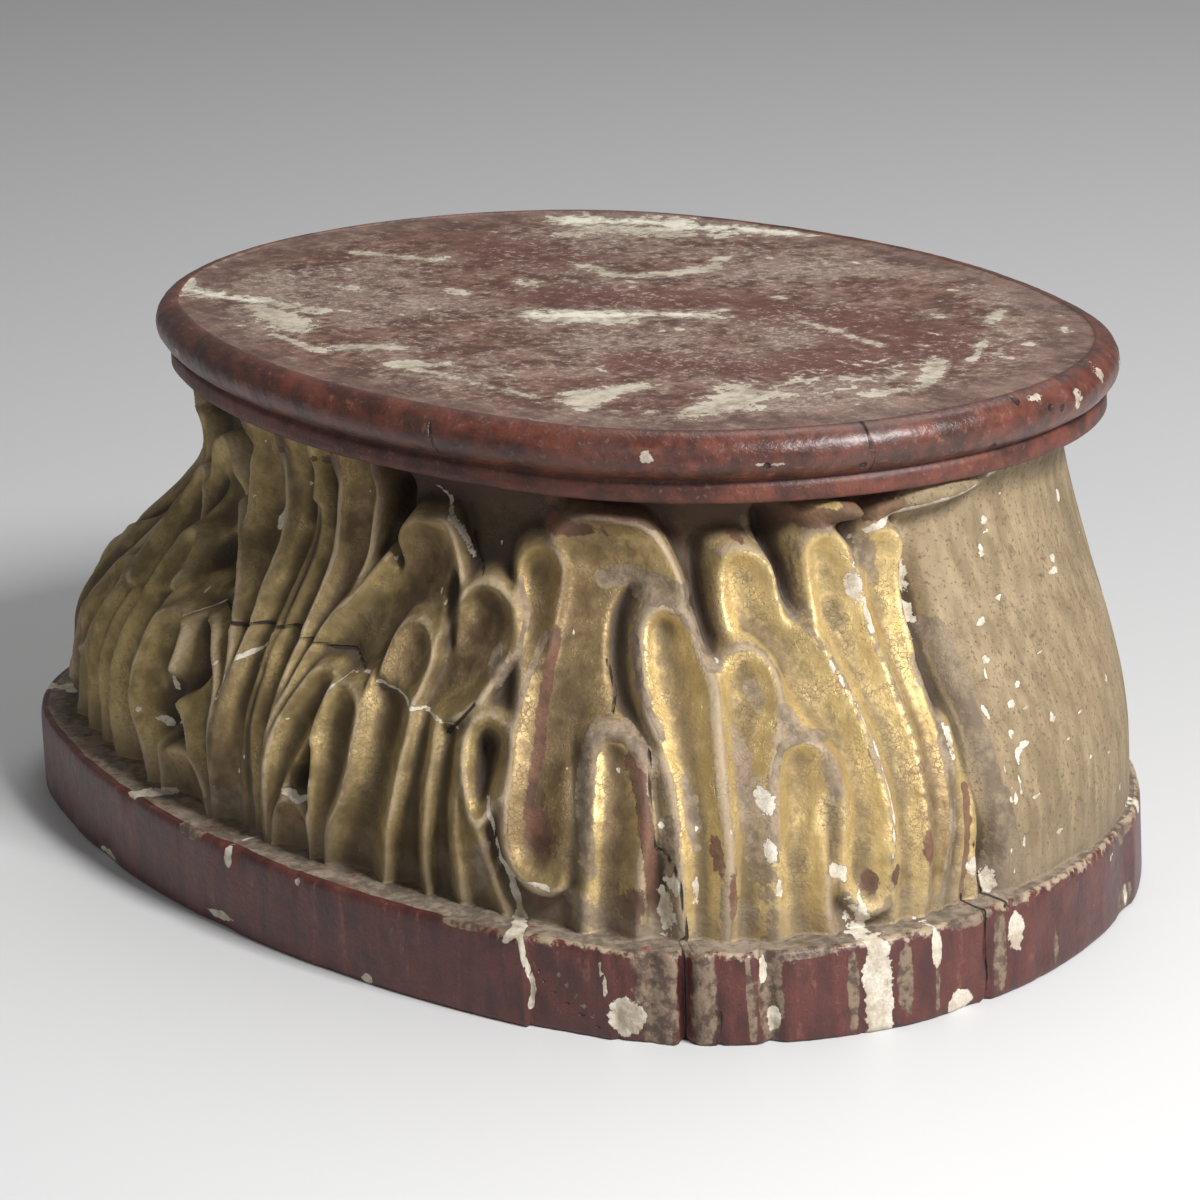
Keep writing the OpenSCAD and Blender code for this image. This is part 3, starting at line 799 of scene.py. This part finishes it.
def colour(c):
    return c if isinstance(c, Wire) else (c[0], c[1], c[2], 1.0)


def startMaterial(name):
    material = bpy.data.materials.new(name)
    material.use_nodes = True
    tree = material.node_tree
    shader = tree.nodes["Principled BSDF"]
    place = Wire(tree, tree.nodes.new("ShaderNodeTexCoord").outputs["Object"])
    return material, shader, place


def finishMaterial(shader, place, base, rough, metal, coat, bump, depth):
    sockets = {"Base Color": base, "Roughness": rough, "Metallic": metal, "Coat Weight": coat}
    for name, wire in sockets.items():
        if isinstance(wire, Wire):
            place.tree.links.new(wire.out, shader.inputs[name])
        else:
            shader.inputs[name].default_value = wire
    shader.inputs["Coat Roughness"].default_value = 0.3
    normal = place.node("ShaderNodeBump", {"Strength": 1.0, "Distance": depth, "Height": bump})
    place.tree.links.new(normal.out, shader.inputs["Normal"])


print("mixing the gilding")
gilt, shader, place = startMaterial("gildedWood")
ragged = place.noise(260, 4, 0.65)
broad = place.noise(28, 3)
mid = place.noise(85, 3, 0.6)
fine = place.noise(700, 2, 0.6)
streaks = place.stretched(1, 1, 0.22).noise(170, 4, 0.65)
mottle = mid * 0.5 + ragged * 0.5
cavityW, rimW, innerW = place.value("cavity"), place.value("rim"), place.value("inner")
around, high, offLobe = place.value("around"), place.value("high"), 1 - place.value("onLobe")
foot, ledge, carvedW = place.value("foot"), place.value("ledge"), place.value("carved")
crackW = place.value("crack")
sunny = around.step(44, 60)               # painted light: the right of the front is painted brighter as if lit, the left darker as if in shade
shadeSide = 1 - sunny

# leaf gold: bright and dull patches, painted shade over the left of the front, brown specks, fine
# crackle, dirt in the hollows with painted shade added there, painted highlights on the ridges, and
# tarnish
goldDull, goldBright = (0.50, 0.36, 0.155), (0.76, 0.575, 0.27)
gold = (mid * 0.5 + broad * 0.5).tones(0.40, 0.60, goldDull, goldBright)
# painted shade: a darker gold laid over the left of the front, as if it lay in shade
shadedGold = mid.tones(0.4, 0.6, (0.17, 0.12, 0.052), (0.33, 0.242, 0.104))
gold = (shadeSide * 0.8).blend(gold, shadedGold)
gold = ((broad * 0.6 + ragged * 0.4).step(0.50, 0.62) * 0.35).blend(gold, (0.25, 0.18, 0.08))
speck = (fine * 0.6 + mid * 0.4 + innerW * -0.02).step(0.565, 0.62)
gold = (speck * 0.5).blend(gold, (0.13, 0.085, 0.04))
crackle = (1 - place.cells(520).step(0.0, 0.05)) * mid.step(0.46, 0.6)
gold = (crackle * 0.36).blend(gold, (0.14, 0.09, 0.045))
patina = (cavityW * -0.40 + ragged * 0.6 + broad * 0.8 + mid * 0.3 - 0.80).step(0.05, 0.75)
gold = (patina * 0.8).blend(gold, (0.12, 0.082, 0.042))
hollowW = place.value("hollow") + (mid - 0.5) * 2.0
# painted shade in the hollows, stronger on the shaded left
hollowShade = (hollowW * -1).step(-0.2, 3.0) * (shadeSide * 0.6 + 0.2)
gold = hollowShade.blend(gold, (0.070, 0.046, 0.023))
ridge = hollowW.step(0.8, 3.2)
# painted highlight: lighter gold on the ridges, as if they caught the light
ridgeHighlight = ridge * ((ragged * 0.6 + mid * 0.4).step(0.42, 0.58) * 0.3 + 0.1)
gold = ridgeHighlight.blend(gold, (0.62, 0.47, 0.22))
tarnish = (place.value("tarnish") + (ragged - 0.5) * 1.2 + (mid - 0.5)).step(-0.4, 0.9)
gold = (tarnish * 0.75).blend(gold, mid.tones(0.4, 0.6, (0.13, 0.08, 0.045), (0.25, 0.17, 0.09)))

# red bole and bare wood where the rims are rubbed, both weighted by the painted-light mask so they
# show more on the lit right, and dark ground between the lobes, partly patina and partly painted
# shade
boleShows = (rimW * 0.5 + mid * 1.2 + ragged * 0.5 - 0.2).step(1.0, 1.12)
# real bole and rim wear, with painted light: sunny makes them show more on the lit right
body = (boleShows * sunny * 0.65).blend(gold, (0.20, 0.10, 0.06))
wornRim = (rimW * 0.9 + ragged * 0.8 + offLobe * 0.3).step(0.86, 1.12) * (sunny * 0.35 + 0.65)
bareWood = (broad * 0.5 + ragged * 0.5).tones(0.42, 0.6, (0.34, 0.255, 0.165), (0.175, 0.12, 0.075))
body = (wornRim * 0.85).blend(body, bareWood)
lipLine = (rimW + (ragged - 0.5) * 1.1 + (mid - 0.5) * 0.6).step(0.70, 0.88) * carvedW
body = (lipLine * 0.5).blend(body, (0.44, 0.345, 0.225))
# painted shade: the recessed ground between the lobes is darkened nearly to black over its patina
ground = offLobe * carvedW
body = (ground * 0.85).blend(body, (0.036, 0.020, 0.012))

# marked places: red, grey and white, with ragged edges that are calmer on the foot
calm = 1 - foot * 0.55
redOn = (place.value("red") + (ragged - 0.5) * 1.6 + (mid - 0.5) * 1.2).step(-0.05, 0.15)
greyOn = (place.value("grey") + (ragged - 0.5) * calm * 1.6 + (mid - 0.5) * 1.2).step(-0.05, 0.15)
whiteOn = place.value("white") + (ragged - 0.5) * calm * 2.4 + (mid - 0.5) * calm * 1.4
whiteOn = whiteOn.step(0.04, 0.12)
redTone = mid.tones(0.4, 0.6, (0.080, 0.038, 0.024), (0.150, 0.066, 0.040))
greyTone = mottle.tones(0.42, 0.6, (0.13, 0.095, 0.065), (0.30, 0.225, 0.155))
body = (redOn * 0.9).blend(body, redTone)
body = (greyOn * 0.85).blend(body, greyTone)
# painted shade in the deepest cuts between the lobes
deepestShade = (cavityW * -1).step(1.3, 4.2)
body = (deepestShade * 0.85).blend(body, (0.035, 0.021, 0.012))
# painted shadow of the board's overhang on the neck just under it
neck = high.step(143, 152) * (1 - innerW.step(0.0, 0.2)) * carvedW * (1 - redOn * 0.9)
body = (neck * 0.75).blend(body, (0.07, 0.035, 0.022))

# the plain sides and back: brushed olive-brown paint
plain = (streaks * 0.6 + broad * 0.4).tones(0.36, 0.64, (0.19, 0.138, 0.076), (0.335, 0.252, 0.148))
plain = (broad.step(0.46, 0.62) * 0.55).blend(plain, (0.215, 0.150, 0.085))
plain = (ragged.step(0.60, 0.68) * 0.6).blend(plain, (0.13, 0.085, 0.045))
plain = (fine.step(0.59, 0.66) * 0.7).blend(plain, (0.10, 0.070, 0.040))
stain = mottle.tones(0.42, 0.6, (0.14, 0.10, 0.065), (0.235, 0.175, 0.112))
body = (1 - carvedW).step(0.35, 0.65).blend(body, greyOn.blend(plain, stain))
dusty = (high * -1 + (mid - 0.5) * 26).step(-46, -33)
body = (dusty * 0.5).blend(body, (0.215, 0.165, 0.115))

# the foot's oxblood paint, rubbed to the wood along its top edge, and the dusty ledge
oxblood = (mid * 0.5 + streaks * 0.5).tones(0.38, 0.62, (0.050, 0.012, 0.010),
                                            (0.108, 0.025, 0.018))
rub = (streaks * 0.7 + ragged * 0.5).step(0.68, 0.80)
oxblood = (rub * 0.6).blend(oxblood, (0.21, 0.085, 0.055))
edgeWear = (high * 0.45 + (ragged - 0.5) * 6 - 12.6).step(0.0, 0.9)
oxblood = (edgeWear * around.step(44, 54) * 0.8).blend(oxblood, (0.42, 0.33, 0.22))
oxblood = greyOn.blend(oxblood, ragged.tones(0.4, 0.6, (0.085, 0.052, 0.036), (0.22, 0.155, 0.105)))
shelf = (ragged * 0.6 + broad * 0.4).tones(0.4, 0.6, (0.12, 0.09, 0.065), (0.27, 0.21, 0.155))
shelf = (mid * 0.7 + ragged * 0.4).step(0.66, 0.74).blend(shelf, (0.19, 0.045, 0.03))
body = foot.step(0.4, 0.6).blend(body, oxblood)
body = ledge.step(0.3, 0.6).blend(body, shelf)
body = whiteOn.blend(body, mottle.tones(0.4, 0.6, (0.40, 0.33, 0.24), (0.64, 0.58, 0.48)))
cracked = 1 - (crackW + (ragged - 0.5) * 0.5).step(0.25, 0.75)
body = (cracked * 0.95).blend(body, (0.02, 0.013, 0.009))

# metal only where clean gold is left
bare = (1 - whiteOn) * (1 - greyOn) * (1 - redOn) * (1 - cracked)
bare = bare * (1 - foot.step(0.2, 0.6)) * (1 - ledge.step(0.2, 0.6))
metalOn = bare * carvedW.step(0.3, 0.7) * (1 - wornRim) * (1 - patina * 0.6) * (1 - dusty * 0.7)
metalOn = metalOn * (1 - deepestShade) * (1 - ground) * (1 - speck) * (1 - lipLine)
metalOn = metalOn * (sunny * 0.13 + 0.62)
roughness = 0.77 - metalOn * 0.22 - ridge * metalOn * 0.14 - foot * 0.26
roughness = roughness + (ragged - 0.5) * 0.3 + whiteOn * 0.2
coat = foot * (1 - whiteOn) * (1 - greyOn) * 0.25
heightMap = fine * 0.2 + ragged * (0.6 - metalOn * 0.3) + mid * 0.6 + crackle * -0.12
heightMap = heightMap + whiteOn * -0.5 + greyOn * -0.12 + cracked * -1.2
heightMap = heightMap + streaks * (1 - carvedW) * 0.5
finishMaterial(shader, place, body, roughness, metalOn, coat, heightMap, 0.0008)

print("mixing the board's paint")
paint, shader, place = startMaterial("boardPaint")
ragged = place.noise(230, 4, 0.68)
broad = place.noise(16, 3, 0.6)
mid = place.noise(60, 4, 0.62)
fine = place.noise(600, 2, 0.6)
grain = place.stretched(0.3, 1, 1).noise(180, 4, 0.6)
mottle = mid * 0.5 + ragged * 0.5
edgeOn, topOn = place.value("edge"), place.value("top")

# the red edge
red = (mid * 0.6 + grain * 0.4).tones(0.38, 0.62, (0.045, 0.015, 0.011), (0.138, 0.039, 0.024))
red = ((broad * 0.5 + ragged * 0.5).step(0.48, 0.60) * 0.6).blend(red, (0.065, 0.030, 0.022))
red = ((fine * 0.5 + ragged * 0.5).step(0.57, 0.62) * 0.5).blend(red, (0.20, 0.085, 0.055))

# the top: red-brown under a pale film, with scuffs, darker pools and a band along the rim
top = mottle.tones(0.40, 0.60, (0.074, 0.028, 0.017), (0.170, 0.083, 0.056))
film = (broad * 0.6 + mid * 0.25 + ragged * 0.35).step(0.52, 0.70)
top = (film * 0.55).blend(top, (0.26, 0.195, 0.152))
darker = (place.value("darkZone") + (mid - 0.5) * 2.0 + (ragged - 0.5)).step(-0.3, 0.5)
top = (darker * 0.7).blend(top, (0.095, 0.026, 0.018))
rimBand = 1 - (place.value("inward") + (mid - 0.5) * 0.16).step(0.08, 0.22)
bandTone = (mid * 0.5 + grain * 0.5).tones(0.4, 0.6, (0.085, 0.045, 0.034), (0.165, 0.098, 0.074))
top = (rimBand * 0.75).blend(top, bandTone)
flecks = (fine * 0.45 + ragged * 0.40 + broad * 0.25).step(0.585, 0.64)
top = (flecks * (1 - rimBand * 0.8) * 0.6).blend(top, (0.38, 0.31, 0.26))
scuffs = place.stretched(0.4, 1.5, 1).noise(150, 5, 0.75).step(0.57, 0.66)
top = (scuffs * 0.4).blend(top, (0.32, 0.24, 0.20))
body = topOn.step(0.3, 0.7).blend(red, top)
rubbed = (grain * 0.6 + ragged * 0.5).step(0.62, 0.74) * edgeOn
body = (rubbed * 0.45).blend(body, (0.25, 0.095, 0.065))

# paint lost down to the ground, each loss with a thin halo
lossT = place.value("lossTop") + (ragged - 0.5) * 3.0 + (mid - 0.5) * 3.4 + (fine - 0.5) * 1.2
lossE = place.value("lossEdge") + (ragged - 0.5) * 3.0 + (fine - 0.5) * 1.2
halo = lossT.step(-0.9, 0.1)
body = (halo * 0.5 * topOn).blend(body, (0.27, 0.195, 0.155))
lost = (lossT.step(0.05, 0.22) * topOn + lossE.step(0.1, 0.25) * edgeOn).step(0.2, 0.8)
bareTone = mottle.tones(0.42, 0.6, (0.29, 0.235, 0.175), (0.47, 0.42, 0.33))
bareTone = (lossT + place.value("whiter")).step(0.9, 2.0).blend(bareTone, (0.66, 0.62, 0.52))
body = (lost * 0.92).blend(body, bareTone)
hole = 1 - place.value("worm").step(0.9, 1.4)
opened = 1 - (place.value("split") + (ragged - 0.5) * 0.5).step(0.35, 0.9)
body = (hole + opened).step(0.2, 0.8).blend(body, (0.02, 0.012, 0.01))
roughness = 0.50 - edgeOn * 0.12 + lost * 0.22 + film * 0.08 + (ragged - 0.5) * 0.25
coat = edgeOn * (1 - lost) * 0.2
heightMap = fine * 0.2 + ragged * 0.5 + mid * 0.7 + grain * edgeOn * 0.5
heightMap = heightMap + lost * -0.6 + hole * -2.0 + opened * -1.4
finishMaterial(shader, place, body, roughness, 0.0, coat, heightMap, 0.0007)
blockPiece.data.materials.append(gilt)
boardPiece.data.materials.append(paint)

print("setting up the room")
bpy.ops.mesh.primitive_plane_add(size=12, location=(0, 0, 0))
floor = bpy.context.object
floor.name = "floor"
pale = bpy.data.materials.new("paleFloor")
pale.use_nodes = True
pale.node_tree.nodes["Principled BSDF"].inputs["Base Color"].default_value = (0.62, 0.62, 0.62, 1)
floor.data.materials.append(pale)


def softLamp(name, place, target, size, power, tint=(1, 1, 1)):
    bpy.ops.object.light_add(type="AREA", location=place)
    lamp = bpy.context.object
    lamp.name = name
    lamp.data.shape = "RECTANGLE"
    lamp.data.size, lamp.data.size_y = size
    lamp.data.energy = power
    lamp.data.color = tint
    lamp.rotation_euler = (Vector(target) - Vector(place)).to_track_quat("-Z", "Y").to_euler()
    return lamp


softLamp("keyLamp", (1.45, 0.10, 1.30), (0, 0, 0.1), (0.5, 0.5), 52)
softLamp("frontLamp", (0.9, -2.1, 1.1), (0, 0, 0.08), (1.0, 0.8), 5)
softLamp("topLamp", (-0.5, 0.9, 2.0), (0, 0, 0.1), (1.2, 1.2), 13)
world = bpy.data.worlds.new("room")
bpy.context.scene.world = world
world.use_nodes = True
world.node_tree.nodes["Background"].inputs["Color"].default_value = (0.84, 0.84, 0.84, 1)
world.node_tree.nodes["Background"].inputs["Strength"].default_value = 0.2

view = {"place": (1.4364, -0.9833, 0.5788), "ahead": (-0.79274, 0.54389, -0.27522),
        "up": (-0.20298, 0.19019, 0.96053), "lens": 157.0}
bpy.ops.object.camera_add(location=view["place"])
camera = bpy.context.object
ahead, up = Vector(view["ahead"]).normalized(), Vector(view["up"]).normalized()
right = ahead.cross(up).normalized()
up = right.cross(ahead)
camera.rotation_euler = Matrix((right, up, -ahead)).transposed().to_euler()
camera.data.lens = view["lens"]
camera.data.sensor_width = 36
bpy.context.scene.camera = camera
bpy.context.scene.view_settings.view_transform = "Standard"
